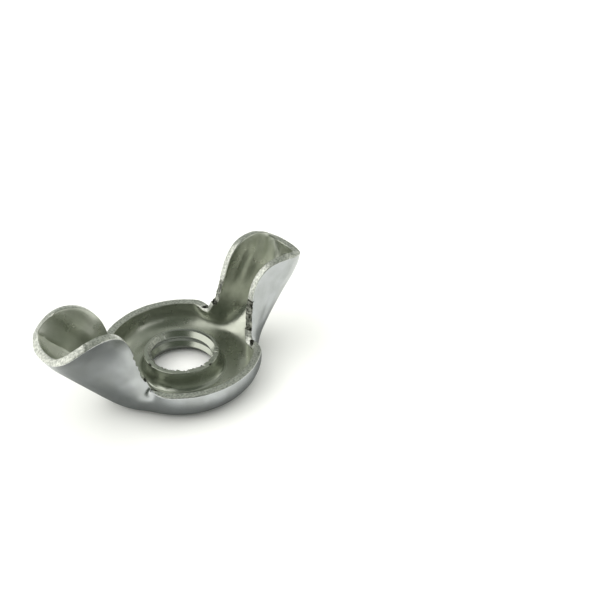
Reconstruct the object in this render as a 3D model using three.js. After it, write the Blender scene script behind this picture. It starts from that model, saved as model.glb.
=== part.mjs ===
// Pressed sheet-steel wing nut, 5/16 inch UNC: one pressing, split where its formed regions meet.
// Millimetres, +Z up along the thread. The origin is the centre of the flat bearing face.
import * as THREE from 'three';

// Driving dimensions.
const SHEET = 1.05; // gauge of the steel in the pan
const RIM_SHEET = 0.85; // the rim is drawn thinner
const WING_SHEET = 0.8; // the steel is drawn thinner towards the wing tips
const JOINT_RADIUS = 4.75; // where the pan's flat web turns into the collar
const COLUMNS = 36; // cage columns around the pan
const WING_REACH = 3; // cage columns from a wing's centre line to its free edge
const RIM_RADIUS = 8.64;
const RIM_HEIGHT = 3.72;

// Threaded collar.
const COLLAR_TOP = 3.08;
const COLLAR_RADIUS = 4.03;
const ROOT_FILLET = 1.15; // how far up the collar the fillet from the web's upper face reaches
const LEAD_IN = 1.35; // radius that the bearing face rolls into the bore with
const PITCH = 25.4 / 18;
const CREST_RADIUS = 3.29;
const THREAD_DEPTH = 0.46; // shallow: the drawn collar is too thin for a full thread
const GROOVE_MOUTH = 0.9; // share of the pitch that the groove is wide at the crest
const GROOVE_ROOT = 0.18; // and at its root
const MOUTH_CHAMFER = 0.22;
const LIP_CHAMFER = 0.1;
const LEAD_IN_TURN = 0.32 * Math.PI; // how far the lead-in rolls before the thread begins
const ARC_STEPS = 5;
const BORE_ROWS = 15;

// Outer skin of the pan, from the collar joint out to the rim: radius, height, sheet thickness.
const PAN_ROWS = [
  [JOINT_RADIUS, 0, SHEET],
  [5.5, 0, SHEET],
  [6.55, 0, SHEET],
  [8.0, 0.72, SHEET],
  [8.72, 2.15, 1.0],
  [RIM_RADIUS, RIM_HEIGHT, RIM_SHEET],
];
const FIRST_WING_ROW = 3; // from this row out, the wing's stations take the place of the pan's rows

// Stations along a wing, from the pan's shoulder to the tip. The spine is the bottom line of the
// channel. Each of the two walls has a free edge, and a bend, the half width where the floor turns
// into the wall. Channel goes from 0, as round as the pan, to 1, a channel with upright walls.
const evenStation = (spine, edge, bend, channel, sheet) => (
  { spine, back: { edge, bend }, front: { edge, bend }, channel, sheet }
);
const ROOT_STATIONS = [
  evenStation([7.95, 0.15], [6.85, 4.0, 0.75], 3.2, 0.15, 1.0),
  evenStation([9.05, 0.98], [7.3, 4.2, 2.2], 3.1, 0.4, 0.95),
  evenStation([10.1, 2.1], [6.47, 3.95, 3.78], 2.9, 0.7, RIM_SHEET),
  evenStation([11.15, 3.35], [6.85, 3.2, 5.5], 2.75, 1, 0.85),
  evenStation([12.2, 4.6], [7.25, 2.95, 7.2], 2.66, 1, WING_SHEET),
  evenStation([13.2, 5.8], [7.65, 2.87, 8.95], 2.7, 1, WING_SHEET),
];
// The tips are rounder in section, the left one is longer and the right one more upright.
const tipStation = (spine, backEdge, backBend, frontEdge, frontBend, channel = 1) => ({
  spine,
  back: { edge: backEdge, bend: backBend },
  front: { edge: frontEdge, bend: frontBend },
  channel,
  sheet: WING_SHEET,
});
const RIGHT_TIP = [
  tipStation([14.15, 6.95], [8.4, 2.9, 10.5], 2.87, [8.4, 2.98, 10.4], 2.85),
  tipStation([14.9, 8.1], [9.6, 3.1, 11.55], 3.07, [9.6, 3.15, 11.35], 2.95),
  tipStation([15.3, 9.35], [11.1, 3.3, 11.8], 3.25, [11.1, 3.35, 11.55], 3.05, 0.85),
  tipStation([15.3, 10.6], [12.7, 3.3, 11.75], 3.35, [12.5, 3.3, 11.3], 3.1, 0.65),
];
const LEFT_TIP = [
  tipStation([14.1, 6.95], [8.4, 2.9, 10.5], 2.87, [8.4, 3.05, 10.35], 2.85),
  tipStation([14.95, 8.0], [9.6, 3.15, 11.65], 3.17, [9.6, 3.45, 11.35], 3.0),
  tipStation([15.5, 8.95], [11.1, 3.45, 12.05], 3.48, [11.1, 3.7, 11.7], 3.2, 0.9),
  tipStation([15.85, 9.7], [12.6, 3.6, 11.9], 3.7, [12.6, 3.65, 11.5], 3.3, 0.8),
];
// Across a channel station: share of the way from spine to edge, and the width in bends.
const CHANNEL_RISE = [0, 0.09, 0.42, 1];
const CHANNEL_WIDTH = [0, 0.63, 1.02];
const NOTCH_ROW = PAN_ROWS.length - 1; // the rim tears into a sharp notch beside each wing

const WINGS = [
  { region: 'right_wing', side: 1, middle: 0, stations: [...ROOT_STATIONS, ...RIGHT_TIP] },
  { region: 'left_wing', side: -1, middle: COLUMNS / 2, stations: [...ROOT_STATIONS, ...LEFT_TIP] },
];

const CLOSE = 0.01; // nearer than this, two measures are the same
const COLLAR_TINT = 0x080808;
const STEEL = { color: 0xb9bdbb, roughness: 0.28, metalness: 1 };
const COLUMN_ANGLE = (2 * Math.PI) / COLUMNS;
const { lerp } = THREE.MathUtils;

// A cage point is a Vector4: x, y, z and the sheet's thickness there.
function panPoint(row, column) {
  const [radius, height, sheet] = PAN_ROWS[row];
  const angle = column * COLUMN_ANGLE;
  return new THREE.Vector4(radius * Math.cos(angle), radius * Math.sin(angle), height, sheet);
}

// Offset counts cage columns across the wing, from the front wall's edge at -Y to the back wall's.
function wingPoint(station, offset, side) {
  const { spine, channel, sheet } = station;
  const { edge, bend } = offset < 0 ? station.front : station.back;
  const step = Math.abs(offset);
  const turn = step * COLUMN_ANGLE;
  const reach = WING_REACH * COLUMN_ANGLE;
  const roundRise = (1 - Math.cos(turn)) / (1 - Math.cos(reach));
  const roundWidth = (edge[1] * Math.sin(turn)) / Math.sin(reach);
  const channelWidth = step < WING_REACH ? CHANNEL_WIDTH[step] * bend : edge[1];
  const rise = lerp(roundRise, CHANNEL_RISE[step], channel);
  const width = lerp(roundWidth, channelWidth, channel);
  return new THREE.Vector4(
    side * lerp(spine[0], edge[0], rise),
    Math.sign(offset) * width,
    lerp(spine[1], edge[2], rise),
    sheet,
  );
}

// The pressing's outer skin as a cage of quads, each marked with the region it belongs to.
function pressingCage() {
  const points = [];
  const pinned = new Set();
  const index = new Map();
  const wrap = (column) => (column + COLUMNS) % COLUMNS;
  const key = (row, column) => `${row}:${wrap(column)}`;
  const place = (row, column, point) => {
    index.set(key(row, column), points.push(point) - 1);
  };
  for (let row = 0; row < PAN_ROWS.length; row += 1) {
    for (let column = 0; column < COLUMNS; column += 1) place(row, column, panPoint(row, column));
  }
  for (const { side, middle, stations } of WINGS) {
    stations.forEach((station, step) => {
      for (let offset = -WING_REACH; offset <= WING_REACH; offset += 1) {
        // Columns count round the pan, so they run from front to back on the right and back on the left.
        const point = wingPoint(station, offset, side);
        place(FIRST_WING_ROW + step, middle + side * offset, point);
      }
    });
    pinned.add(index.get(key(NOTCH_ROW, middle - WING_REACH)));
    pinned.add(index.get(key(NOTCH_ROW, middle + WING_REACH)));
  }
  const faces = [];
  const addFace = (row, column, region) => {
    const here = [key(row, column), key(row, column + 1)];
    const further = [key(row + 1, column + 1), key(row + 1, column)];
    faces.push({ corners: [...here, ...further].map((corner) => index.get(corner)), region });
  };
  for (let row = 0; row < NOTCH_ROW; row += 1) {
    for (let column = 0; column < COLUMNS; column += 1) addFace(row, column, 'hub_pan');
  }
  for (const { region, middle, stations } of WINGS) {
    for (let row = NOTCH_ROW; row < FIRST_WING_ROW + stations.length - 1; row += 1) {
      for (let offset = -WING_REACH; offset < WING_REACH; offset += 1) {
        addFace(row, middle + offset, region);
      }
    }
  }
  return { points, faces, pinned };
}

const mean = (vectors) => {
  const sum = new THREE.Vector4(0, 0, 0, 0);
  vectors.forEach((vector) => sum.add(vector));
  return sum.divideScalar(vectors.length);
};

const edgeKey = (a, b) => (a < b ? `${a}-${b}` : `${b}-${a}`);

// One Catmull-Clark step. Free edges stay free, and pinned points stay where they are.
function subdivide({ points, faces, pinned }) {
  const edges = new Map();
  const around = points.map(() => ({ centres: [], middles: [], freeEnds: [] }));
  const centres = faces.map(({ corners }) => mean(corners.map((corner) => points[corner])));
  faces.forEach(({ corners }, face) => {
    corners.forEach((a, i) => {
      const b = corners[(i + 1) % corners.length];
      const name = edgeKey(a, b);
      if (!edges.has(name)) edges.set(name, { a, b, centres: [] });
      edges.get(name).centres.push(centres[face]);
      around[a].centres.push(centres[face]);
    });
  });
  for (const { a, b, centres: sides } of edges.values()) {
    const middle = mean([points[a], points[b]]);
    around[a].middles.push(middle);
    around[b].middles.push(middle);
    if (sides.length === 1) {
      around[a].freeEnds.push(points[b]);
      around[b].freeEnds.push(points[a]);
    }
  }
  const moved = points.map((point, i) => {
    const { centres: near, middles, freeEnds } = around[i];
    if (pinned.has(i)) return point.clone();
    if (freeEnds.length) return point.clone().lerp(mean(freeEnds), 0.25);
    const valence = near.length;
    const result = mean(near).addScaledVector(mean(middles), 2);
    return result.addScaledVector(point, valence - 3).divideScalar(valence);
  });
  const next = [...moved, ...centres];
  const edgeIndex = new Map();
  for (const [name, { a, b, centres: sides }] of edges) {
    const ends = [points[a], points[b]];
    edgeIndex.set(name, next.push(mean(sides.length === 1 ? ends : [...ends, ...sides])) - 1);
  }
  const quads = faces.flatMap(({ corners, region }, face) => corners.map((corner, i) => {
    const after = edgeIndex.get(edgeKey(corner, corners[(i + 1) % 4]));
    const before = edgeIndex.get(edgeKey(corner, corners[(i + 3) % 4]));
    return { corners: [corner, after, points.length + face, before], region };
  }));
  return { points: next, faces: quads, pinned };
}

// The skin's points, and the same points one sheet thickness in, along the skin's normal.
function bothSkins({ points, faces }) {
  const outer = points.map(({ x, y, z }) => new THREE.Vector3(x, y, z));
  const normals = points.map(() => new THREE.Vector3());
  for (const { corners } of faces) {
    const [a, b, c, d] = corners.map((corner) => outer[corner]);
    const normal = c.clone().sub(a).cross(d.clone().sub(b));
    corners.forEach((corner) => normals[corner].add(normal));
  }
  const inner = outer.map((point, i) => {
    const inwards = normals[i].normalize().negate();
    return point.clone().addScaledVector(inwards, points[i].w);
  });
  return { outer, inner };
}

// One region of the pressing as a closed solid: two skins, and a strip along every border.
function regionGeometry(surface, skins, region) {
  const quads = surface.faces.filter((face) => face.region === region).map((face) => face.corners);
  const halfEdges = new Set(quads.flatMap((quad) => quad.map((a, i) => `${a}>${quad[(i + 1) % 4]}`)));
  const positions = [];
  const addQuad = (a, b, c, d) => {
    for (const point of [a, b, c, a, c, d]) positions.push(point.x, point.y, point.z);
  };
  const { outer, inner } = skins;
  for (const [a, b, c, d] of quads) {
    addQuad(outer[a], outer[b], outer[c], outer[d]);
    addQuad(inner[a], inner[d], inner[c], inner[b]);
  }
  for (const quad of quads) {
    quad.forEach((a, i) => {
      const b = quad[(i + 1) % 4];
      if (halfEdges.has(`${b}>${a}`)) return;
      // Both regions beside a shared border split its strip along the same diagonal.
      if (a < b) addQuad(outer[a], inner[a], inner[b], outer[b]);
      else addQuad(outer[b], outer[a], inner[a], inner[b]);
    });
  }
  const geometry = new THREE.BufferGeometry();
  geometry.setAttribute('position', new THREE.Float32BufferAttribute(positions, 3));
  geometry.computeVertexNormals();
  return geometry;
}

// How far the right-hand thread's groove is cut at an angle and a height: 0 on a crest, 1 in a root.
function grooveDepth(angle, height) {
  const turns = height / PITCH - angle / (2 * Math.PI);
  const distance = Math.abs(turns - Math.round(turns)) * 2;
  return THREE.MathUtils.clamp((GROOVE_MOUTH - distance) / (GROOVE_MOUTH - GROOVE_ROOT), 0, 1);
}

// Closed profile of the collar, radius against height, from the joint round to the joint.
function collarProfile(jointRadius) {
  const profile = [];
  const add = (radius, height) => profile.push(new THREE.Vector2(radius, height));
  const addArc = (height, width, rise, from, to) => {
    for (let i = 0; i <= ARC_STEPS; i += 1) {
      const angle = lerp(from, to, i / ARC_STEPS);
      add(jointRadius + width * Math.cos(angle), height + rise * Math.sin(angle));
    }
  };
  const down = 1.5 * Math.PI;
  addArc(LEAD_IN, jointRadius - CREST_RADIUS, LEAD_IN, down, down - LEAD_IN_TURN);
  const threadStart = profile.at(-1).y;
  const threadEnd = COLLAR_TOP - MOUTH_CHAMFER;
  for (let row = 1; row <= BORE_ROWS; row += 1) {
    add(CREST_RADIUS, lerp(threadStart, threadEnd, row / BORE_ROWS));
  }
  add(CREST_RADIUS + MOUTH_CHAMFER, COLLAR_TOP);
  add(COLLAR_RADIUS - LIP_CHAMFER, COLLAR_TOP);
  add(COLLAR_RADIUS, COLLAR_TOP - LIP_CHAMFER);
  addArc(SHEET + ROOT_FILLET, jointRadius - COLLAR_RADIUS, ROOT_FILLET, Math.PI, down);
  profile.push(profile[0].clone());
  return profile.reverse();
}

// The drawn and tapped collar, lathed, with the thread pressed out into its bore.
function collarGeometry() {
  // A ring of cage points shrinks by this much when it is refined once.
  const jointRadius = (JOINT_RADIUS * (3 + Math.cos(COLUMN_ANGLE))) / 4;
  const geometry = new THREE.LatheGeometry(collarProfile(jointRadius), 2 * COLUMNS);
  geometry.rotateX(Math.PI / 2);
  const position = geometry.attributes.position;
  const threadEnd = COLLAR_TOP - MOUTH_CHAMFER;
  for (let i = 0; i < position.count; i += 1) {
    const [x, y, z] = [position.getX(i), position.getY(i), position.getZ(i)];
    const radius = Math.hypot(x, y);
    const inThread = radius < CREST_RADIUS + CLOSE && z <= threadEnd + CLOSE;
    const cut = inThread ? THREAD_DEPTH * grooveDepth(Math.atan2(y, x), z) : 0;
    position.setXY(i, (x * (radius + cut)) / radius, (y * (radius + cut)) / radius);
  }
  geometry.computeVertexNormals();
  return geometry;
}

function namedMesh(name, geometry, tint) {
  const material = new THREE.MeshStandardMaterial({ ...STEEL, color: STEEL.color + tint });
  const mesh = new THREE.Mesh(geometry, material);
  mesh.name = name;
  return mesh;
}

const surface = subdivide(pressingCage());
const skins = bothSkins(surface);
const wingNut = new THREE.Group();
wingNut.add(namedMesh('hub_pan', regionGeometry(surface, skins, 'hub_pan'), 0));
wingNut.add(namedMesh('threaded_collar', collarGeometry(), COLLAR_TINT));
wingNut.add(namedMesh('left_wing', regionGeometry(surface, skins, 'left_wing'), 0));
wingNut.add(namedMesh('right_wing', regionGeometry(surface, skins, 'right_wing'), 0));

export default wingNut;
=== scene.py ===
"""A pressed, zinc-plated steel wing nut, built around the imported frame.

Lengths are in metres. +Z is up along the thread, +X runs along the wings, and the flat bearing
face lies at height 0. The sheet is modelled as its outer skin and then given its thickness.
"""

import logging
import math
import random
from dataclasses import dataclass
from enum import Enum
from typing import Any, Callable, Sequence

import bmesh
import bpy
from mathutils import Matrix, Vector


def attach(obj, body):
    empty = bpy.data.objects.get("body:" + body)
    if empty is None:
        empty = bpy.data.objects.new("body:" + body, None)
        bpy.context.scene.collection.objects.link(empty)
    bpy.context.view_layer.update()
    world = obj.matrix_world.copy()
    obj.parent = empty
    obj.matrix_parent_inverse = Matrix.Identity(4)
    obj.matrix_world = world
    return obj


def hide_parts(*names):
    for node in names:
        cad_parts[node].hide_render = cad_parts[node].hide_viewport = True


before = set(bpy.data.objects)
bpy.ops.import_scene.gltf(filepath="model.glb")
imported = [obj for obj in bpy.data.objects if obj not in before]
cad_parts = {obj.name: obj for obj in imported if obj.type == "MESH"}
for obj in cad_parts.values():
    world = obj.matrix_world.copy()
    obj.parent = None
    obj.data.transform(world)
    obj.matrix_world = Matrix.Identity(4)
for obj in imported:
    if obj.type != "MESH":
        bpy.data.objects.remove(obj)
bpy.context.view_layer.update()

MM = 0.001
SAME_PLACE = 0.01 * MM
log = logging.getLogger("wing_nut")


class Side(Enum):
    """Which way a wing points."""

    RIGHT = 1
    LEFT = -1


class Skin(Enum):
    """The kinds of surface on the pressed sheet, in the order of its material slots."""

    OUTSIDE = 0
    INSIDE = 1
    CUT_EDGE = 2
    TORN = 3


def linear(hex_colour: str) -> tuple[float, float, float, float]:
    """Turns an sRGB hex colour to linear.

    Args:
        hex_colour: colour written as "#RRGGBB".

    Returns:
        Linear red, green, blue and an alpha of 1.
    """
    channels = [int(hex_colour[i : i + 2], 16) / 255 for i in (1, 3, 5)]
    toe = [c / 12.92 if c <= 0.04045 else ((c + 0.055) / 1.055) ** 2.4 for c in channels]
    return (toe[0], toe[1], toe[2], 1.0)


def add_node(
    tree: bpy.types.NodeTree,
    kind: str,
    settings: dict[str, Any] | None = None,
    inputs: dict[str | int, Any] | None = None,
) -> bpy.types.Node:
    """Adds one node with its settings and links.

    Args:
        tree: node tree that gets the node.
        kind: type name of the node.
        settings: values of the node's own properties.
        inputs: for each input, a constant or the output socket that feeds it.

    Returns:
        The new node.
    """
    node = tree.nodes.new(kind)
    for name, value in (settings or {}).items():
        setattr(node, name, value)
    for name, value in (inputs or {}).items():
        if isinstance(value, bpy.types.NodeSocket):
            tree.links.new(value, node.inputs[name])
        else:
            node.inputs[name].default_value = value
    return node


def set_stops(ramp: bpy.types.Node, stops: Sequence[tuple[float, tuple[float, ...]]]) -> None:
    """Gives a colour ramp its stops.

    Args:
        ramp: the colour ramp node.
        stops: position and linear colour of each stop, in order.
    """
    elements = ramp.color_ramp.elements
    while len(elements) < len(stops):
        elements.new(1.0)
    for element, (position, colour) in zip(elements, stops):
        element.position = position
        element.color = colour


def deselect_everything() -> None:
    """Leaves edit mode and clears the selection."""
    if bpy.context.mode != "OBJECT":
        bpy.ops.object.mode_set(mode="OBJECT")
    bpy.ops.object.select_all(action="DESELECT")


def select_vertices(piece: bpy.types.Object, chosen: Callable[[Vector], bool]) -> int:
    """Selects the vertices of a piece in edit mode by their place.

    Args:
        piece: the object in edit mode.
        chosen: says whether the vertex at a place is taken.

    Returns:
        How many vertices are selected.
    """
    shape = bmesh.from_edit_mesh(piece.data)
    for vertex in shape.verts:
        vertex.select = chosen(vertex.co)
    shape.select_flush(True)
    shape.select_flush(False)
    bmesh.update_edit_mesh(piece.data)
    return sum(vertex.select for vertex in shape.verts)


def apply_modifier(piece: bpy.types.Object, kind: str, settings: dict[str, Any]) -> None:
    """Adds one modifier to a piece and applies it.

    Args:
        piece: the object to change.
        kind: the modifier's type.
        settings: values of the modifier's properties.
    """
    deselect_everything()
    piece.select_set(True)
    bpy.context.view_layer.objects.active = piece
    modifier = piece.modifiers.new(kind.lower(), kind)
    for name, value in settings.items():
        setattr(modifier, name, value)
    bpy.ops.object.modifier_apply(modifier=modifier.name)


def cut_away(piece: bpy.types.Object, cutters: Sequence[bpy.types.Object],
             finish: bpy.types.Material) -> None:
    """Cuts closed cutters out of a piece, one by one, and removes them.

    Args:
        piece: the closed object to cut.
        cutters: closed cutters.
        finish: the material that the cut faces get, already in one of the piece's slots.
    """
    for cutter in cutters:
        cutter.data.materials.append(finish)
        apply_modifier(piece, "BOOLEAN", {
            "operation": "DIFFERENCE", "solver": "MANIFOLD", "object": cutter, "material_mode": "TRANSFER"})
        bpy.data.objects.remove(cutter)


def ragged_cone(place: Vector, direction: Vector, radius: float, length: float,
                seed: int) -> bpy.types.Object:
    """Makes a small ragged cone, wide end first, that nicks and cracks are cut with.

    Args:
        place: its middle, in metres.
        direction: where it points.
        radius: radius of its wide end in metres.
        length: its length in metres.
        seed: seed of its raggedness.

    Returns:
        The closed cutter.
    """
    deselect_everything()
    turn = direction.to_track_quat("Z", "Y").to_euler()
    bpy.ops.mesh.primitive_cone_add(vertices=7, radius1=radius, radius2=radius * 0.2, depth=length,
                                    location=place, rotation=turn)
    cone = bpy.context.object
    bpy.ops.object.transform_apply(location=True, rotation=True, scale=True)
    bpy.ops.object.mode_set(mode="EDIT")
    bpy.ops.mesh.select_all(action="SELECT")
    bpy.ops.transform.vertex_random(offset=radius * 0.35, seed=seed)
    bpy.ops.object.mode_set(mode="OBJECT")
    return cone


def rings_of_revolution(name: str, profile: Sequence[tuple[float, float]], columns: int) -> bpy.types.Object:
    """Builds a surface of revolution ring by ring, and stays in edit mode with the last ring selected.

    Args:
        name: name of the new object.
        profile: radius and height of each ring, in order.
        columns: vertices in a ring.

    Returns:
        The new object.
    """
    deselect_everything()
    radius, height = profile[0]
    bpy.ops.mesh.primitive_circle_add(vertices=columns, radius=radius, location=(0, 0, 0))
    piece = bpy.context.object
    piece.name = name
    piece.data.name = name
    bpy.ops.object.mode_set(mode="EDIT")
    bpy.ops.mesh.select_mode(type="VERT")
    bpy.ops.transform.translate(value=(0, 0, height))
    for next_radius, next_height in profile[1:]:
        rise = next_height - height
        bpy.ops.mesh.extrude_edges_move(TRANSFORM_OT_translate={"value": (0, 0, rise)})
        factor = next_radius / radius
        bpy.ops.transform.resize(value=(factor, factor, 1), center_override=(0, 0, next_height))
        radius, height = next_radius, next_height
    return piece


def arc(centre: tuple[float, float], radii: tuple[float, float], turn: tuple[float, float],
        steps: int) -> list[tuple[float, float]]:
    """Points along an elliptic arc in a profile.

    Args:
        centre: radius and height of the arc's centre.
        radii: half axes along the radius and along the height.
        turn: first and last angle in degrees.
        steps: stretches along the arc.

    Returns:
        Radius and height of each point.
    """
    angles = [math.radians(turn[0] + (turn[1] - turn[0]) * i / steps) for i in range(steps + 1)]
    return [(centre[0] + radii[0] * math.cos(a), centre[1] + radii[1] * math.sin(a)) for a in angles]


@dataclass(frozen=True)
class ZincPlate:
    """Bright zinc electroplate on pressed mild steel.

    The plate is cool grey and satin bright. The press leaves fine lines that run along the metal's
    flow, and handling leaves it faintly cloudy.
    """

    name: str
    colour: str
    cloud_colour: str
    roughness: float
    cloud_roughness: float
    line_depth: float

    def material(self) -> bpy.types.Material:
        """Builds the plate's material.

        Returns:
            The material, which reads the flow map of the piece.
        """
        made = bpy.data.materials.new(self.name)
        made.use_nodes = True
        tree = made.node_tree
        shader = tree.nodes["Principled BSDF"]
        shader.inputs["Metallic"].default_value = 1.0
        place = add_node(tree, "ShaderNodeTexCoord").outputs["Object"]
        # Clouding from handling, in patches of about 2 mm.
        clouds = add_node(tree, "ShaderNodeTexNoise", {}, {"Vector": place, "Scale": 0.5 / MM, "Detail": 3.0})
        tint = add_node(tree, "ShaderNodeValToRGB", {}, {"Fac": clouds.outputs["Fac"]})
        set_stops(tint, [(0.35, linear(self.cloud_colour)), (0.65, linear(self.colour))])
        tree.links.new(tint.outputs["Color"], shader.inputs["Base Color"])
        rough = add_node(tree, "ShaderNodeMapRange", {}, {
            "Value": clouds.outputs["Fac"], "From Min": 0.35, "From Max": 0.65,
            "To Min": self.cloud_roughness, "To Max": self.roughness})
        tree.links.new(rough.outputs["Result"], shader.inputs["Roughness"])
        # Press lines, 0.12 mm apart across the flow and long along it, drawn coarse enough to show.
        flow = add_node(tree, "ShaderNodeUVMap", {"uv_map": PressedSheet.flow_map})
        stretch = add_node(tree, "ShaderNodeMapping", {}, {
            "Vector": flow.outputs["UV"], "Scale": (1 / 0.12, 1 / 4.0, 1.0)})
        lines = add_node(tree, "ShaderNodeTexNoise", {}, {
            "Vector": stretch.outputs["Vector"], "Scale": 1.0, "Detail": 2.0})
        bump = add_node(tree, "ShaderNodeBump", {}, {
            "Height": lines.outputs["Fac"], "Distance": self.line_depth, "Strength": 1.0})
        tree.links.new(bump.outputs["Normal"], shader.inputs["Normal"])
        return made


@dataclass(frozen=True)
class BrokenSteel:
    """Plated steel where the sheet was sheared or ripped: mottled and grainy, brightest where plate built up.

    The stops say how much of the grain is dull, and where it is at its brightest.
    """

    name: str
    colour: str
    dull_colour: str
    roughness: float
    grain: float
    grain_depth: float
    stops: tuple[float, float]

    def material(self) -> bpy.types.Material:
        """Builds the broken surface's material.

        Returns:
            The material.
        """
        made = bpy.data.materials.new(self.name)
        made.use_nodes = True
        tree = made.node_tree
        shader = tree.nodes["Principled BSDF"]
        shader.inputs["Metallic"].default_value = 1.0
        shader.inputs["Roughness"].default_value = self.roughness
        place = add_node(tree, "ShaderNodeTexCoord").outputs["Object"]
        grain = add_node(tree, "ShaderNodeTexNoise", {}, {
            "Vector": place, "Scale": 1 / self.grain, "Detail": 4.0})
        tint = add_node(tree, "ShaderNodeValToRGB", {}, {"Fac": grain.outputs["Fac"]})
        set_stops(tint, list(zip(self.stops, (linear(self.dull_colour), linear(self.colour)))))
        tree.links.new(tint.outputs["Color"], shader.inputs["Base Color"])
        bump = add_node(tree, "ShaderNodeBump", {}, {
            "Height": grain.outputs["Fac"], "Distance": self.grain_depth, "Strength": 1.0})
        tree.links.new(bump.outputs["Normal"], shader.inputs["Normal"])
        return made


@dataclass(frozen=True)
class TappedSteel:
    """Drawn steel collar, then tapped: satin bright, with fine tool lines round the axis."""

    name: str = "tapped_zinc_plated_steel"
    colour: str = "#B9BDB4"
    roughness: float = 0.26
    line_depth: float = 0.012 * MM

    def material(self) -> bpy.types.Material:
        """Builds the collar's material.

        Returns:
            The material, with tool lines stacked along the axis.
        """
        made = bpy.data.materials.new(self.name)
        made.use_nodes = True
        tree = made.node_tree
        shader = tree.nodes["Principled BSDF"]
        shader.inputs["Metallic"].default_value = 1.0
        shader.inputs["Roughness"].default_value = self.roughness
        shader.inputs["Base Color"].default_value = linear(self.colour)
        place = add_node(tree, "ShaderNodeTexCoord").outputs["Object"]
        # Tool lines 0.15 mm apart up the bore, nearly level.
        stretch = add_node(tree, "ShaderNodeMapping", {}, {
            "Vector": place, "Scale": (0.2 / MM, 0.2 / MM, 1 / (0.15 * MM))})
        lines = add_node(tree, "ShaderNodeTexNoise", {}, {
            "Vector": stretch.outputs["Vector"], "Scale": 1.0, "Detail": 2.0})
        bump = add_node(tree, "ShaderNodeBump", {}, {
            "Height": lines.outputs["Fac"], "Distance": self.line_depth, "Strength": 1.0})
        tree.links.new(bump.outputs["Normal"], shader.inputs["Normal"])
        return made


@dataclass(frozen=True)
class Ring:
    """One ring of the pan's outer skin."""

    radius: float
    height: float
    sheet: float


@dataclass(frozen=True)
class Wall:
    """One wall of a wing's section: its free edge, and the half width where the floor turns into it."""

    edge: tuple[float, float, float]
    bend: float


@dataclass(frozen=True)
class Station:
    """One section across a wing, in millimetres.

    The spine is the bottom line of the channel. Channel goes from 0, as round as the pan, to 1, a
    channel with upright walls. The front wall is on the -Y side.
    """

    spine: tuple[float, float]
    back: Wall
    front: Wall
    channel: float
    sheet: float


def even(spine: tuple[float, float], edge: tuple[float, float, float], bend: float, channel: float,
         sheet: float) -> Station:
    """Makes a station whose two walls are alike."""
    return Station(spine, Wall(edge, bend), Wall(edge, bend), channel, sheet)


def tip(spine: tuple[float, float], back: Wall, front: Wall, channel: float = 1.0) -> Station:
    """Makes a station near the tip, where the sheet is thinnest."""
    return Station(spine, back, front, channel, 0.8)


@dataclass(frozen=True)
class DrawLine:
    """A soft ridge that drawing left in the sheet, along the metal's flow.

    Across gives the place round the section at its start and end, out the distance along the metal,
    all on the flow map. A negative height is a groove seen from outside.
    """

    side: Side
    across: tuple[float, float]
    out: tuple[float, float]
    width: float
    height: float
    end_fade = 6.4

    def weight(self, flow: Vector) -> float:
        """How much of the ridge's height a point of the flow map gets."""
        share = (flow.y - self.out[0]) / (self.out[1] - self.out[0])
        if not 0 < share < 1:
            return 0.0
        middle = self.across[0] + (self.across[1] - self.across[0]) * share
        ends = min(1.0, self.end_fade * share * (1 - share))
        return ends * math.exp(-(((flow.x - middle) / self.width) ** 2))


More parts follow.
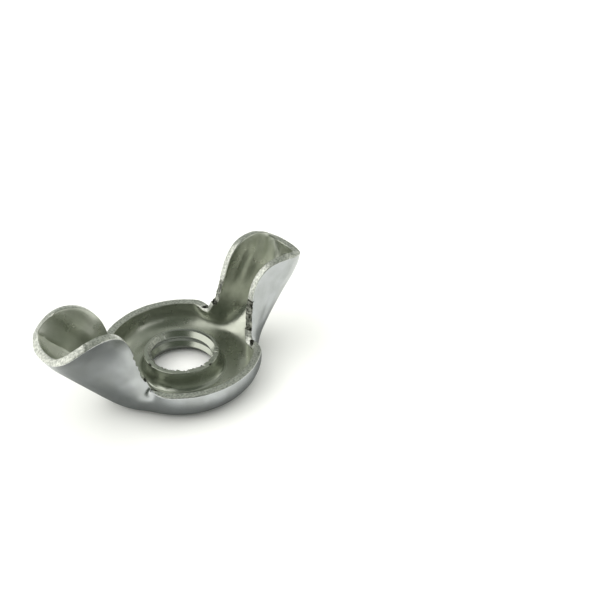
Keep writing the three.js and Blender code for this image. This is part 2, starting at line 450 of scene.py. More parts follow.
@dataclass
class PressedSheet:
    """The pressed body: a round pan whose rim rises into two channel-shaped wings."""

    flow_map = "metal_flow"
    columns: int = 36
    reach: int = 3
    first_wing_row: int = 3
    notch_row: int = 5
    refinement: int = 3
    edge_round: float = 0.1
    gauge: float = 1.05
    rings: tuple[Ring, ...] = (
        Ring(4.75, 0.0, 1.05),
        Ring(5.5, 0.0, 1.05),
        Ring(6.55, 0.0, 1.05),
        Ring(8.0, 0.72, 1.05),
        Ring(8.72, 2.15, 1.0),
        Ring(8.64, 3.72, 0.85),
    )
    root: tuple[Station, ...] = (
        even((7.95, 0.15), (6.85, 4.0, 0.75), 3.2, 0.15, 1.0),
        even((9.05, 0.98), (7.3, 4.2, 2.2), 3.1, 0.4, 0.95),
        even((10.1, 2.1), (6.47, 3.95, 3.78), 2.9, 0.7, 0.85),
        even((11.15, 3.35), (6.85, 3.2, 5.5), 2.75, 1.0, 0.85),
        even((12.2, 4.6), (7.25, 2.95, 7.2), 2.66, 1.0, 0.8),
        even((13.2, 5.8), (7.65, 2.87, 8.95), 2.7, 1.0, 0.8),
    )
    right_tip: tuple[Station, ...] = (
        tip((14.15, 6.95), Wall((8.4, 2.9, 10.5), 2.87), Wall((8.4, 2.98, 10.4), 2.85)),
        tip((14.9, 8.1), Wall((9.6, 3.1, 11.55), 3.07), Wall((9.6, 3.15, 11.35), 2.95)),
        tip((15.3, 9.35), Wall((11.1, 3.3, 11.8), 3.25), Wall((11.1, 3.35, 11.55), 3.05), 0.85),
        tip((15.3, 10.6), Wall((12.7, 3.3, 11.75), 3.35), Wall((12.5, 3.3, 11.3), 3.1), 0.65),
    )
    left_tip: tuple[Station, ...] = (
        tip((14.1, 6.95), Wall((8.4, 2.9, 10.5), 2.87), Wall((8.4, 3.05, 10.35), 2.85)),
        tip((14.95, 8.0), Wall((9.6, 3.15, 11.65), 3.17), Wall((9.6, 3.45, 11.35), 3.0)),
        tip((15.5, 8.95), Wall((11.1, 3.45, 12.05), 3.48), Wall((11.1, 3.7, 11.7), 3.2), 0.9),
        tip((15.85, 9.7), Wall((12.6, 3.6, 11.9), 3.7), Wall((12.6, 3.65, 11.5), 3.3), 0.8),
    )
    draw_lines: tuple[DrawLine, ...] = (
        DrawLine(Side.RIGHT, (4.9, 6.4), (11.5, 21.0), 0.16, -0.07),
        DrawLine(Side.RIGHT, (3.4, 4.4), (12.0, 23.0), 0.5, -0.1),
        DrawLine(Side.RIGHT, (-3.6, -4.6), (11.5, 21.5), 0.4, 0.1),
        DrawLine(Side.RIGHT, (-5.0, -6.0), (12.5, 21.0), 0.35, 0.07),
        DrawLine(Side.RIGHT, (-4.3, -5.3), (12.5, 19.5), 0.2, -0.05),
        DrawLine(Side.RIGHT, (-2.2, -2.4), (13.0, 23.0), 0.5, 0.08),
        DrawLine(Side.LEFT, (-4.0, -5.6), (11.0, 20.0), 0.9, -0.1),
        DrawLine(Side.LEFT, (-6.2, -7.2), (12.5, 19.0), 0.5, 0.08),
        DrawLine(Side.LEFT, (-2.4, -2.0), (12.0, 22.0), 0.6, 0.06),
        DrawLine(Side.LEFT, (3.0, 3.6), (12.5, 23.0), 0.3, 0.08),
        DrawLine(Side.LEFT, (5.4, 6.6), (12.0, 21.0), 0.5, -0.08),
    )
    wrinkle_depth: float = 0.09
    wrinkle_width: float = 1.3
    wrinkle_length: float = 9.0
    tear_bite: float = 0.34
    tear_seed: int = 11
    bar_radius: float = 1.0
    bar_shape: tuple[float, float] = (0.6, 1.1)
    bar_steps: int = 14
    bar_wander: float = 0.09
    bar_scatter: float = 0.05
    bar_foot: tuple[float, float, float] = (-0.33, 1.03, -1.0)
    bar_head: float = 0.5
    crack_radius: float = 0.27
    crack_length: float = 1.6
    crack_drop: float = 0.15
    channel_rise: tuple[float, ...] = (0.0, 0.09, 0.42, 1.0)
    channel_width: tuple[float, ...] = (0.0, 0.63, 1.02)

    def stations(self, side: Side) -> tuple[Station, ...]:
        """All stations of one wing, from the pan's shoulder to the tip."""
        return self.root + (self.right_tip if side is Side.RIGHT else self.left_tip)

    def section(self, station: Station, side: Side) -> list[Vector]:
        """Cage points across a wing, from -Y to +Y.

        Args:
            station: the section's sizes in millimetres.
            side: which way the wing points.

        Returns:
            The section's points in metres.
        """
        spread = 2 * math.pi / self.columns
        reach = self.reach * spread
        points = []
        for offset in range(-self.reach, self.reach + 1):
            wall = station.front if offset < 0 else station.back
            step = abs(offset)
            round_rise = (1 - math.cos(step * spread)) / (1 - math.cos(reach))
            round_width = wall.edge[1] * math.sin(step * spread) / math.sin(reach)
            width = self.channel_width[step] * wall.bend if step < self.reach else wall.edge[1]
            rise = round_rise + (self.channel_rise[step] - round_rise) * station.channel
            width = round_width + (width - round_width) * station.channel
            x = station.spine[0] + (wall.edge[0] - station.spine[0]) * rise
            z = station.spine[1] + (wall.edge[2] - station.spine[1]) * rise
            y = math.copysign(width, offset) if offset else 0.0
            points.append(Vector((side.value * x, y, z)) * MM)
        return points

    def pan_row(self, ring: Ring, side: Side) -> list[Vector]:
        """Cage points of one of the pan's rings where a wing leaves it, from -Y to +Y."""
        turns = [offset * 2 * math.pi / self.columns for offset in range(-self.reach, self.reach + 1)]
        across = side.value * ring.radius
        return [Vector((across * math.cos(turn), ring.radius * math.sin(turn), ring.height)) * MM
                for turn in turns]

    def move_row(self, body: bpy.types.Object, starts: Sequence[Vector], targets: Sequence[Vector]) -> None:
        """Moves one row of a wing, point by point, onto its section.

        Args:
            body: the cage in edit mode.
            starts: where the row's points are.
            targets: where they go, in the same order.
        """
        for start, end in zip(starts, targets):
            select_vertices(body, lambda p: (p - start).length < SAME_PLACE)
            bpy.ops.transform.translate(value=end - start)

    def raise_wing(self, body: bpy.types.Object, side: Side) -> None:
        """Draws one wing out of the pan, station by station.

        Args:
            body: the cage in edit mode.
            side: which way the wing points.
        """
        shoulder = self.rings[self.first_wing_row :]
        stations = self.stations(side)
        for ring, station in zip(shoulder, stations):
            self.move_row(body, self.pan_row(ring, side), self.section(station, side))
        for last, station in zip(stations[len(shoulder) - 1 :], stations[len(shoulder) :]):
            row = self.section(last, side)
            select_vertices(body, lambda p: any((p - q).length < SAME_PLACE for q in row))
            stride = self.section(station, side)[self.reach] - row[self.reach]
            bpy.ops.mesh.extrude_edges_move(TRANSFORM_OT_translate={"value": stride})
            self.move_row(body, [point + stride for point in row], self.section(station, side))

    def pin_notches(self, body: bpy.types.Object) -> None:
        """Keeps the torn corner on each side of each wing sharp."""
        notches = []
        for side in Side:
            section = self.section(self.root[self.notch_row - self.first_wing_row], side)
            notches += [section[0], section[-1]]
        select_vertices(body, lambda p: any((p - q).length < SAME_PLACE for q in notches))
        bpy.ops.transform.vert_crease(value=1.0)

    def map_flow(self, body: bpy.types.Object) -> None:
        """Lays the flow map, in millimetres: U round the pan and across a wing, V out along the metal.

        Args:
            body: the cage in object mode.
        """
        flows = [self.pan_flow(vertex.co) for vertex in body.data.vertices]
        for side in Side:
            outwards = self.rings[self.first_wing_row].radius * MM
            spine = self.section(self.root[0], side)[self.reach]
            for station in self.stations(side):
                section = self.section(station, side)
                outwards += (section[self.reach] - spine).length
                spine = section[self.reach]
                for vertex in body.data.vertices:
                    nearest = min(range(len(section)), key=lambda i: (section[i] - vertex.co).length)
                    if (section[nearest] - vertex.co).length < SAME_PLACE:
                        path = section[min(nearest, self.reach) : max(nearest, self.reach) + 1]
                        across = sum((q - p).length for p, q in zip(path, path[1:]))
                        across = math.copysign(across, nearest - self.reach)
                        flows[vertex.index] = (across / MM, outwards / MM)
        layer = body.data.uv_layers.new(name=self.flow_map)
        for loop in body.data.loops:
            layer.data[loop.index].uv = flows[loop.vertex_index]

    def pan_flow(self, place: Vector) -> tuple[float, float]:
        """Where a point of the pan lies on the flow map."""
        turn = math.atan2(place.y, abs(place.x))
        return (turn * self.rings[-1].radius, (place.xy.length + place.z) / MM)

    def weigh_sheet(self, body: bpy.types.Object) -> None:
        """Stores how thick the sheet is at each cage point as a share of its gauge."""
        known = [(Vector((r.radius * MM, 0, r.height * MM)), r.sheet) for r in self.rings]
        group = body.vertex_groups.new(name="sheet")
        sections = [(station.sheet, self.section(station, side))
                    for side in Side for station in self.stations(side)]
        for vertex in body.data.vertices:
            polar = Vector((vertex.co.xy.length, 0, vertex.co.z))
            sheet = min(known, key=lambda row: (row[0] - polar).length)[1]
            for station_sheet, section in sections:
                if any((vertex.co - point).length < SAME_PLACE for point in section):
                    sheet = station_sheet
            group.add([vertex.index], sheet / self.gauge, "REPLACE")

    def build(self, name: str, finishes: Sequence[bpy.types.Material]) -> bpy.types.Object:
        """Presses the whole sheet.

        Args:
            name: name of the new object.
            finishes: materials of the outside, the inside, the cut edge and the torn edge.

        Returns:
            The closed sheet.
        """
        profile = [(ring.radius * MM, ring.height * MM) for ring in self.rings]
        body = rings_of_revolution(name, profile, self.columns)
        for side in Side:
            self.raise_wing(body, side)
        self.pin_notches(body)
        bpy.ops.mesh.select_all(action="SELECT")
        bpy.ops.mesh.normals_make_consistent(inside=False)
        deselect_everything()
        self.turn_outwards(body)
        self.map_flow(body)
        self.weigh_sheet(body)
        self.mark_regions(body)
        for finish in finishes:
            body.data.materials.append(finish)
        apply_modifier(body, "SUBSURF", {"levels": self.refinement, "render_levels": self.refinement})
        self.draw_the_metal(body)
        apply_modifier(body, "SOLIDIFY", {
            "thickness": self.gauge * MM, "offset": -1.0, "vertex_group": "sheet",
            "material_offset": Skin.INSIDE.value, "material_offset_rim": Skin.CUT_EDGE.value})
        self.round_edges(body)
        self.tear_edges(body)
        bpy.ops.object.shade_smooth_by_angle(angle=math.radians(38))
        return body

    def draw_the_metal(self, body: bpy.types.Object) -> None:
        """Presses the draw lines and the soft wrinkles into the skin, and leaves the bearing face flat.

        Args:
            body: the refined skin in object mode.
        """
        flows = [Vector((0, 0))] * len(body.data.vertices)
        layer = body.data.uv_layers[self.flow_map]
        for loop in body.data.loops:
            flows[loop.vertex_index] = layer.data[loop.index].uv.copy()
        for number, line in enumerate(self.draw_lines):
            name = f"draw_line_{number}"
            group = body.vertex_groups.new(name=name)
            for vertex in body.data.vertices:
                weight = line.weight(flows[vertex.index]) if vertex.co.x * line.side.value > 0 else 0.0
                if weight > 0.01:
                    group.add([vertex.index], weight, "REPLACE")
            apply_modifier(body, "DISPLACE", {
                "vertex_group": name, "strength": line.height * MM, "mid_level": 0.0})
            body.vertex_groups.remove(body.vertex_groups[name])
        group = body.vertex_groups.new(name="drawn")
        start, full = self.rings[self.first_wing_row].radius, self.root[3].spine[0]
        for vertex in body.data.vertices:
            share = (flows[vertex.index].y - start) / (full - start)
            group.add([vertex.index], min(max(share, 0.0), 1.0), "REPLACE")
        stretched = body.data.uv_layers.new(name="wrinkles")
        for loop in body.data.loops:
            flow = flows[loop.vertex_index]
            stretched.data[loop.index].uv = (flow.x / self.wrinkle_width, flow.y / self.wrinkle_length)
        waves = bpy.data.textures.new("wrinkles", "CLOUDS")
        waves.noise_scale = 2.0
        apply_modifier(body, "DISPLACE", {
            "vertex_group": "drawn", "texture": waves, "texture_coords": "UV", "uv_layer": "wrinkles",
            "strength": self.wrinkle_depth * MM, "mid_level": 0.5})
        body.vertex_groups.remove(body.vertex_groups["drawn"])
        body.data.uv_layers.remove(body.data.uv_layers["wrinkles"])

    def torn_bar(self, side: Side, wall: int, draw: random.Random) -> bpy.types.Object:
        """Makes the ragged bar that the tear along one free edge is cut with.

        Args:
            side: which wing.
            wall: -1 for the wall at -Y, 1 for the one at +Y.
            draw: source of the raggedness.

        Returns:
            The closed cutter.
        """
        foot, head = self.root[3].back.edge, self.root[4].back.edge
        inwards, spread, down = self.bar_foot
        start = Vector((side.value * (foot[0] + inwards), wall * foot[1] * spread, foot[2] + down))
        end = Vector((side.value * head[0], wall * head[1], head[2] + self.bar_head))
        outwards = Vector((-side.value, 0, 0.2)).normalized()
        clear = outwards * (self.bar_shape[0] - self.tear_bite)
        deselect_everything()
        bpy.ops.mesh.primitive_circle_add(vertices=10, radius=self.bar_radius * MM, fill_type="NGON",
                                          location=(0, 0, 0))
        bar = bpy.context.object
        bpy.ops.object.mode_set(mode="EDIT")
        bpy.ops.mesh.select_mode(type="VERT")
        bpy.ops.transform.resize(value=(*self.bar_shape, 1), center_override=(0, 0, 0))
        place = start + clear
        bpy.ops.transform.translate(value=place * MM)
        for step in range(self.bar_steps):
            ragged = Vector((draw.uniform(-self.bar_wander, self.bar_wander), 0, 0))
            goal = start.lerp(end, (step + 1) / self.bar_steps) + clear + ragged
            bpy.ops.mesh.extrude_region_move(TRANSFORM_OT_translate={"value": (goal - place) * MM})
            place = goal
        bpy.ops.mesh.select_all(action="SELECT")
        bpy.ops.transform.vertex_random(offset=self.bar_scatter * MM, seed=draw.randrange(100))
        bpy.ops.mesh.normals_make_consistent(inside=False)
        bpy.ops.object.mode_set(mode="OBJECT")
        return bar

    def tear_edges(self, body: bpy.types.Object) -> None:
        """Tears the lower part of each free edge, where the wing ripped away from the pan's rim.

        Args:
            body: the closed sheet.
        """
        draw = random.Random(self.tear_seed)
        cutters = []
        for side in Side:
            for wall in (-1, 1):
                cutters.append(self.torn_bar(side, wall, draw))
                notch = self.root[self.notch_row - self.first_wing_row].back.edge
                along = Vector((-side.value * 0.8, wall, -0.35)).normalized()
                middle = Vector((side.value * notch[0], wall * notch[1], notch[2]))
                middle += along * self.crack_length / 2
                place = (middle - Vector((0, 0, self.crack_drop))) * MM
                cutters.append(ragged_cone(place, along, self.crack_radius * MM, self.crack_length * MM,
                                           draw.randrange(100)))
        cut_away(body, cutters, body.data.materials[Skin.TORN.value])

    def mark_regions(self, body: bpy.types.Object) -> None:
        """Marks each cage face with the region that it belongs to: the pan, or one of the wings.

        Args:
            body: the cage in object mode.
        """
        marks = body.data.attributes.new("region", "INT", "FACE")
        for side in Side:
            border = self.root[self.notch_row - self.first_wing_row]
            for face in body.data.polygons:
                marks.data[face.index].value += self.beyond(face.center, border, side) * side.value

    def beyond(self, place: Vector, border: Station, side: Side) -> bool:
        """Says whether a place is further out on a wing than one of its stations."""
        spine = Vector((border.spine[0], border.spine[1]))
        edge = Vector((border.back.edge[0], border.back.edge[2]))
        outwards = Vector((edge.y - spine.y, spine.x - edge.x))
        return (Vector((side.value * place.x, place.z)) / MM - spine).dot(outwards) > 0

    def part_regions(self, whole: bpy.types.Object, names: dict[int, str]) -> list[bpy.types.Object]:
        """Parts the finished sheet into its regions, each a closed piece with the whole sheet's shading.

        Args:
            whole: the finished sheet, which is used up.
            names: name of each region's piece by its mark.

        Returns:
            The pieces, in the order of the names.
        """
        border = self.root[self.notch_row - self.first_wing_row]
        marks = whole.data.attributes["region"]
        for face in whole.data.polygons:
            if face.material_index == Skin.TORN.value:
                marks.data[face.index].value = sum(
                    self.beyond(face.center, border, side) * side.value for side in Side)
        deselect_everything()
        bpy.context.view_layer.objects.active = whole
        # The shading is kept as it is on the whole sheet, so that no joint shows.
        bpy.ops.mesh.customdata_custom_splitnormals_add()
        pieces = []
        for mark, name in names.items():
            deselect_everything()
            whole.select_set(True)
            bpy.context.view_layer.objects.active = whole
            bpy.ops.object.duplicate()
            piece = bpy.context.object
            piece.name = name
            piece.data.name = name
            bpy.ops.object.mode_set(mode="EDIT")
            bpy.ops.mesh.select_mode(type="FACE")
            shape = bmesh.from_edit_mesh(piece.data)
            region = shape.faces.layers.int["region"]
            for face in shape.faces:
                face.select = face[region] != mark
            bmesh.update_edit_mesh(piece.data)
            bpy.ops.mesh.delete(type="FACE")
            bpy.ops.mesh.select_mode(type="EDGE")
            bpy.ops.mesh.select_all(action="DESELECT")
            bpy.ops.mesh.select_non_manifold(extend=False)
            bpy.ops.mesh.mark_sharp()
            bpy.ops.mesh.fill(use_beauty=False)
            bpy.ops.mesh.select_all(action="SELECT")
            bpy.ops.mesh.normals_make_consistent(inside=False)
            deselect_everything()
            piece.data.attributes.remove(piece.data.attributes["region"])
            pieces.append(piece)
        bpy.data.objects.remove(whole)
        return pieces

    def turn_outwards(self, body: bpy.types.Object) -> None:
        """Turns the skin's faces outwards, which on the bearing face is down."""
        bearing = min(body.data.polygons, key=lambda face: face.center.xy.length)
        if bearing.normal.z > 0:
            body.data.flip_normals()

    def round_edges(self, body: bpy.types.Object) -> None:
        """Breaks the two corners of the cut edge, and leaves the joint with the collar alone."""
        deselect_everything()
        body.select_set(True)
        bpy.context.view_layer.objects.active = body
        bpy.ops.object.mode_set(mode="EDIT")
        bpy.ops.mesh.select_mode(type="EDGE")
        shape = bmesh.from_edit_mesh(body.data)
        joint = (self.rings[0].radius + 0.3) * MM
        for element in (*shape.verts, *shape.edges, *shape.faces):
            element.select = False
        for edge in shape.edges:
            kinds = {face.material_index for face in edge.link_faces}
            middle = (edge.verts[0].co + edge.verts[1].co) / 2
            if Skin.CUT_EDGE.value in kinds and len(kinds) == 2 and middle.xy.length > joint:
                edge.select = True
        bmesh.update_edit_mesh(body.data)
        bpy.ops.mesh.bevel(offset=self.edge_round * MM, segments=3, affect="EDGES")
        deselect_everything()
        body.select_set(True)
        bpy.context.view_layer.objects.active = body


@dataclass
class TappedCollar:
    """The collar drawn up from the web, with the thread tapped into it. Sizes in millimetres."""

    joint_radius: float = 4.75
    gauge: float = 1.05
    top: float = 3.08
    radius: float = 4.03
    root_fillet: float = 1.15
    lead_in: float = 1.35
    pitch: float = 25.4 / 18
    crest_radius: float = 3.29
    thread_depth: float = 0.46
    chamfer: float = 0.22
    columns: int = 144
    bore_rows: int = 12
    nicks: int = 13
    nick_radius: float = 0.2
    nick_seed: int = 5
    burr: float = 0.17
    sort_from: tuple[float, float, float] = (0.0131, 0.0297, 0.0419)

    def profile(self) -> list[tuple[float, float]]:
        """Closed section of the collar, from the bearing face up the bore and down the outside.

        Returns:
            Radius and height of each point in metres.
        """
        lead = (self.joint_radius - self.crest_radius, self.lead_in)
        points = arc((self.joint_radius, self.lead_in), lead, (270, 180), 10)
        threaded = self.top - self.chamfer
        points += [(self.crest_radius, self.lead_in + (threaded - self.lead_in) * (i + 1) / self.bore_rows)
                   for i in range(self.bore_rows)]
        points.append((self.crest_radius + self.chamfer, self.top))
        lip = 0.1
        points += arc((self.radius - lip, self.top - lip), (lip, lip), (90, 0), 3)
        fillet = (self.joint_radius - self.radius, self.root_fillet)
        points += arc((self.joint_radius, self.gauge + self.root_fillet), fillet, (180, 270), 8)
        points.append(points[0])
        return [(radius * MM, height * MM) for radius, height in points]

    def tap(self) -> bpy.types.Object:
        """Makes the tap: a right-hand helix of the thread's groove.

        Returns:
            The closed cutter.
        """
        deselect_everything()
        bpy.ops.mesh.primitive_plane_add(size=1.0, rotation=(math.pi / 2, 0, 0))
        tap = bpy.context.object
        bpy.ops.object.transform_apply(location=True, rotation=True, scale=True)
        inside = self.crest_radius - 0.35
        root = self.crest_radius + self.thread_depth
        opening = 0.9 * self.pitch
        bpy.ops.object.mode_set(mode="EDIT")
        bpy.ops.mesh.select_all(action="SELECT")
        bpy.ops.transform.resize(value=((root - inside) * MM, 1, opening * MM), center_override=(0, 0, 0))
        bpy.ops.transform.translate(value=((root + inside) / 2 * MM, 0, -self.pitch * MM))
        # The outer side narrows to the root, and a middle vertex keeps the groove full width at the crest.
        bpy.ops.mesh.delete(type="ONLY_FACE")
        select_vertices(tap, lambda p: True)
        shape = bmesh.from_edit_mesh(tap.data)
        for edge in shape.edges:
            level = abs(edge.verts[0].co.z - edge.verts[1].co.z) < SAME_PLACE
            edge.select = level
        bmesh.update_edit_mesh(tap.data)
        bpy.ops.mesh.subdivide(number_cuts=1)
        middle = (root + inside) / 2 * MM
        select_vertices(tap, lambda p: abs(p.x - middle) < SAME_PLACE)
        bpy.ops.transform.translate(value=(self.crest_radius * MM - middle, 0, 0))
        select_vertices(tap, lambda p: p.x > (root - 0.05) * MM)
        bpy.ops.transform.resize(value=(1, 1, 0.24), center_override=(root * MM, 0, -self.pitch * MM))
        bpy.ops.object.mode_set(mode="OBJECT")
        apply_modifier(tap, "SCREW", {
            "axis": "Z", "screw_offset": self.pitch * MM, "iterations": 5, "steps": 96, "render_steps": 96,
            "use_normal_calculate": False, "use_smooth_shade": False})
        bpy.ops.object.mode_set(mode="EDIT")
        bpy.ops.mesh.select_all(action="SELECT")
        bpy.ops.mesh.fill_holes(sides=8)
        bpy.ops.mesh.select_all(action="SELECT")
        bpy.ops.mesh.normals_make_consistent(inside=False)
        bpy.ops.object.mode_set(mode="OBJECT")
        return tap

    def dress_burr(self, collar: bpy.types.Object) -> None:
        """Gives the burred mouth of the bore the bright cut finish, in the collar's last slot."""
        mouth = (self.crest_radius + self.chamfer + 0.12) * MM
        for face in collar.data.polygons:
            if face.center.xy.length < mouth and face.center.z > (self.top - self.chamfer - 0.15) * MM:
                if face.material_index == 0:
                    face.material_index = len(collar.data.materials) - 1

    def roughen_crest(self, collar: bpy.types.Object, torn: bpy.types.Material) -> None:
        """Leaves the top of the collar as the tap does: a ragged burr round the bore, and small nicks.

        Args:
            collar: the tapped collar.
            torn: finish of the nicks.
        """
        deselect_everything()
        bpy.context.view_layer.objects.active = collar
        collar.select_set(True)
        bpy.ops.object.mode_set(mode="EDIT")
        bpy.ops.mesh.select_mode(type="VERT")
        # The tap cut leaves the vertices in no fixed order, and the burr goes by order.
        bpy.context.scene.cursor.location = self.sort_from
        bpy.ops.mesh.select_all(action="SELECT")
        bpy.ops.mesh.sort_elements(type="CURSOR_DISTANCE", elements={"VERT", "EDGE", "FACE"})
        bpy.context.scene.cursor.location = (0, 0, 0)
        mouth = (self.crest_radius + self.chamfer + 0.02) * MM
        select_vertices(collar, lambda p: p.xy.length < mouth and p.z > (self.top - self.chamfer - 0.12) * MM)
        bpy.ops.transform.vertex_random(offset=self.burr * MM, seed=self.nick_seed)
        draw = random.Random(self.nick_seed)
        cutters = []
        for i in range(self.nicks):
            turn = 2 * math.pi * (i + draw.uniform(0.1, 0.9)) / self.nicks
            inside = draw.random() < 0.6
            radius = self.crest_radius + self.chamfer if inside else self.radius
            outwards = Vector((math.cos(turn), math.sin(turn), 0))
            place = (outwards * radius + Vector((0, 0, self.top))) * MM
            along = Vector((-outwards.y, outwards.x, draw.uniform(-0.5, 0.1)))
            cutters.append(ragged_cone(place, along, self.nick_radius * draw.uniform(0.6, 1.2) * MM,
                                       draw.uniform(0.3, 0.9) * MM, draw.randrange(100)))
        cut_away(collar, cutters, torn)

    def build(self, name: str, finish: bpy.types.Material, torn: bpy.types.Material,
              burred: bpy.types.Material) -> bpy.types.Object:
        """Spins the collar and taps it.

        Args:
            name: name of the new object.
            finish: its material.
            torn: finish of the nicks in its top.
            burred: finish of the burr round the bore.

        Returns:
            The tapped collar.
        """
        collar = rings_of_revolution(name, self.profile(), self.columns)
        bpy.ops.mesh.select_all(action="SELECT")
        bpy.ops.mesh.remove_doubles(threshold=0.002 * MM)
        bpy.ops.mesh.normals_make_consistent(inside=False)
        deselect_everything()
        tap = self.tap()
        apply_modifier(collar, "BOOLEAN", {"operation": "DIFFERENCE", "solver": "EXACT", "object": tap})
        bpy.data.objects.remove(tap)
        collar.data.materials.clear()
        collar.data.materials.append(finish)
        collar.data.materials.append(torn)
        self.roughen_crest(collar, torn)
        collar.data.materials.append(burred)
        self.dress_burr(collar)
        bpy.ops.object.shade_smooth_by_angle(angle=math.radians(32))
        return collar


@dataclass(frozen=True)
class Glow:
    """A soft round patch of the room, seen only in reflections and soft light.

    Azimuth and elevation are degrees round the nut and above the table. The patch has its full
    strength inside the core and fades out over the fade, both in degrees.
    """

    azimuth: float
    elevation: float
    core: float
    fade: float
    colour: str
    strength: float


def towards(azimuth: float, elevation: float) -> Vector:
    """Direction from the nut at an azimuth and elevation in degrees; azimuth 0 is towards -Y."""
    turn, lift = math.radians(azimuth), math.radians(elevation)
    return Vector((math.sin(turn) * math.cos(lift), -math.cos(turn) * math.cos(lift), math.sin(lift)))


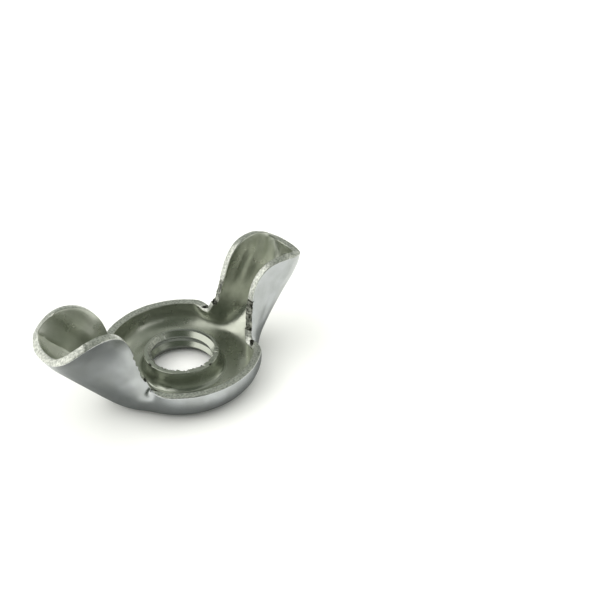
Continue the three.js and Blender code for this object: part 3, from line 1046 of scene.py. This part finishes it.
@dataclass
class Studio:
    """A white table under soft light, and the camera. Lengths in millimetres, angles in degrees."""

    azimuth: float = -41.6
    elevation: float = 35.1
    roll: float = 1.5
    distance: float = 103.55
    aside: tuple[float, float] = (12.74, 7.86)
    sensor: float = 36.0
    lens: float = 57.06
    table: float = 4000.0
    table_colour: str = "#F2F2F0"
    # Painted shade of the table near the nut, seen only in reflections: its grey, its reach and its stretch
    # along X.
    painted_shade_colour: str = "#949694"
    painted_shade_reach: tuple[float, float] = (8.3, 13.5)
    painted_shade_stretch: float = 1.5
    room_colour: str = "#A9ADA4"
    room_strength: float = 1.0
    glows: tuple[Glow, ...] = (
        Glow(-38, 42, 38, 22, "#F0FFE4", 0.13),
        Glow(25, 8, 16, 20, "#FFFFFA", 0.8),
        Glow(84, 26, 8, 12, "#FFFFF4", 1.2),
        Glow(-118, 36, 32, 12, "#FFFFF8", 1.45),
    )

    def place_camera(self) -> None:
        """Puts the camera at its angle and distance."""
        back = towards(self.azimuth, self.elevation)
        level = towards(self.azimuth + 90, 0)
        upright = back.cross(level)
        roll = math.radians(self.roll)
        right = level * math.cos(roll) + upright * math.sin(roll)
        up = upright * math.cos(roll) - level * math.sin(roll)
        place = (back * self.distance + right * self.aside[0] + up * self.aside[1]) * MM
        deselect_everything()
        bpy.ops.object.camera_add(location=place)
        camera = bpy.context.object
        camera.name = "camera"
        camera.matrix_world = Matrix((right, up, back)).transposed().to_4x4()
        camera.location = place
        camera.data.sensor_width = self.sensor
        camera.data.lens = self.lens
        camera.data.clip_start = 1 * MM
        camera.data.clip_end = 10.0
        bpy.context.scene.camera = camera

    def lay_table(self) -> None:
        """Lays the pale table top. In reflections it is painted darker grey near the nut: painted shade,
        which the camera doesn't see.
        """
        deselect_everything()
        bpy.ops.mesh.primitive_plane_add(size=self.table * MM, location=(0, 0, 0))
        table = bpy.context.object
        table.name = "table"
        made = bpy.data.materials.new("matt_white_paper_painted_shade")
        made.use_nodes = True
        shader = made.node_tree.nodes["Principled BSDF"]
        tree = made.node_tree
        # Painted shade: reflections see the table in a darker grey within a few millimetres of the nut,
        # stretched along X.
        place = add_node(tree, "ShaderNodeTexCoord").outputs["Object"]
        along = add_node(tree, "ShaderNodeMapping", {}, {
            "Vector": place, "Scale": (1 / self.painted_shade_stretch, 1, 1)})
        away = add_node(tree, "ShaderNodeVectorMath", {"operation": "LENGTH"}, {0: along.outputs["Vector"]})
        painted_shade_falloff = add_node(tree, "ShaderNodeMapRange", {"interpolation_type": "SMOOTHSTEP"}, {
            "Value": away.outputs["Value"],
            "From Min": self.painted_shade_reach[0] * MM, "From Max": self.painted_shade_reach[1] * MM})
        painted_shade_near_nut = add_node(tree, "ShaderNodeMix", {"data_type": "RGBA"}, {
            0: painted_shade_falloff.outputs["Result"], 6: linear(self.painted_shade_colour), 7: linear(self.table_colour)})
        reflected = add_node(tree, "ShaderNodeLightPath").outputs["Is Glossy Ray"]
        paper = add_node(tree, "ShaderNodeMix", {"data_type": "RGBA"}, {
            0: reflected, 6: linear(self.table_colour), 7: painted_shade_near_nut.outputs[2]})
        tree.links.new(paper.outputs[2], shader.inputs["Base Color"])
        shader.inputs["Roughness"].default_value = 0.9
        shader.inputs["Specular IOR Level"].default_value = 0.0
        table.data.materials.append(made)

    def hang_light(self, name: str, azimuth: float, elevation: float, distance: float, size: float,
                   power: float) -> bpy.types.Object:
        """Hangs one square softbox that faces the nut.

        Args:
            name: the light's name.
            azimuth: degrees round the nut.
            elevation: degrees above the table.
            distance: millimetres from the nut.
            size: side of the softbox in millimetres.
            power: watts.

        Returns:
            The light.
        """
        back = towards(azimuth, elevation)
        deselect_everything()
        bpy.ops.object.light_add(type="AREA", location=back * distance * MM)
        lamp = bpy.context.object
        lamp.name = name
        lamp.rotation_euler = back.to_track_quat("Z", "Y").to_euler()
        lamp.data.shape = "SQUARE"
        lamp.data.size = size * MM
        lamp.data.energy = power
        lamp.visible_camera = False
        return lamp

    def fill_room(self) -> None:
        """Gives the room its soft patches, and leaves the backdrop plain white."""
        world = bpy.data.worlds.new("soft_room")
        world.use_nodes = True
        bpy.context.scene.world = world
        tree = world.node_tree
        tree.nodes.clear()
        direction = add_node(tree, "ShaderNodeTexCoord").outputs["Generated"]
        shade: Any = tuple(c * self.room_strength for c in linear(self.room_colour)[:3]) + (1.0,)
        for glow in self.glows:
            facing = add_node(tree, "ShaderNodeVectorMath", {"operation": "DOT_PRODUCT"}, {
                0: direction, 1: towards(glow.azimuth, glow.elevation)})
            share = add_node(tree, "ShaderNodeMapRange", {"interpolation_type": "SMOOTHSTEP"}, {
                "Value": facing.outputs["Value"], "From Min": math.cos(math.radians(glow.core + glow.fade)),
                "From Max": math.cos(math.radians(glow.core))})
            colour = tuple(c * glow.strength for c in linear(glow.colour)[:3]) + (1.0,)
            mixed = add_node(tree, "ShaderNodeMix", {"data_type": "RGBA", "clamp_result": False}, {
                0: share.outputs["Result"], 6: shade, 7: colour})
            shade = mixed.outputs[2]
        seen = add_node(tree, "ShaderNodeLightPath").outputs["Is Camera Ray"]
        room = add_node(tree, "ShaderNodeBackground", {}, {"Color": shade})
        paper = add_node(tree, "ShaderNodeBackground", {}, {"Color": (1, 1, 1, 1)})
        either = add_node(tree, "ShaderNodeMixShader", {}, {
            0: seen, 1: room.outputs["Background"], 2: paper.outputs["Background"]})
        add_node(tree, "ShaderNodeOutputWorld", {}, {"Surface": either.outputs["Shader"]})

    def build(self) -> None:
        """Sets up the whole studio."""
        bpy.context.scene.view_settings.view_transform = "Standard"
        self.place_camera()
        self.lay_table()
        self.fill_room()
        overhead = self.hang_light("table_softbox", -70, 80, 700, 1500, 10.2)
        overhead.visible_glossy = False


def main() -> None:
    """Builds the nut and its studio."""
    logging.basicConfig(level=logging.INFO, format="%(name)s: %(message)s")
    outside = ZincPlate("pressed_zinc_plate_outside", "#BBBEC0", "#ABAEAE", 0.2, 0.27, 0.004 * MM).material()
    # Painted light: the inside copy of the plate is lighter and greener than the outside, though both faces
    # carry the same plate.
    inside = ZincPlate("pressed_zinc_plate_inside_painted_lighter", "#CACDC3", "#BABEB3", 0.26, 0.36, 0.006 * MM).material()
    cut = BrokenSteel("sheared_zinc_plated_edge", "#E0E2DC", "#B2B5B0", 0.4, 0.22 * MM, 0.03 * MM,
                      (0.38, 0.6)).material()
    # Painted shade in part: the torn finish's near-black grain darkens the tears, cracks and nicks as shade
    # would; the rest of its mottling is the torn steel's own random tone.
    torn = BrokenSteel("torn_zinc_plated_steel_painted_dark", "#B9BBB2", "#3C3E38", 0.5, 0.45 * MM, 0.12 * MM,
                       (0.4, 0.62)).material()
    pressing = PressedSheet()
    sheet = pressing.build("pressed_sheet", [outside, inside, cut, torn])
    names = {0: "pressed_pan", -1: "pressed_left_wing", 1: "pressed_right_wing"}
    regions = pressing.part_regions(sheet, names)
    for piece, node in zip(regions, ("hub_pan", "left_wing", "right_wing")):
        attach(piece, "root")
        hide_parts(node)
        log.info("%s: %d faces", piece.name, len(piece.data.polygons))
    collar = TappedCollar().build("tapped_collar", TappedSteel().material(), torn, cut)
    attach(collar, "root")
    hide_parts("threaded_collar")
    log.info("%s: %d faces", collar.name, len(collar.data.polygons))
    Studio().build()


if __name__ == "__main__":
    main()
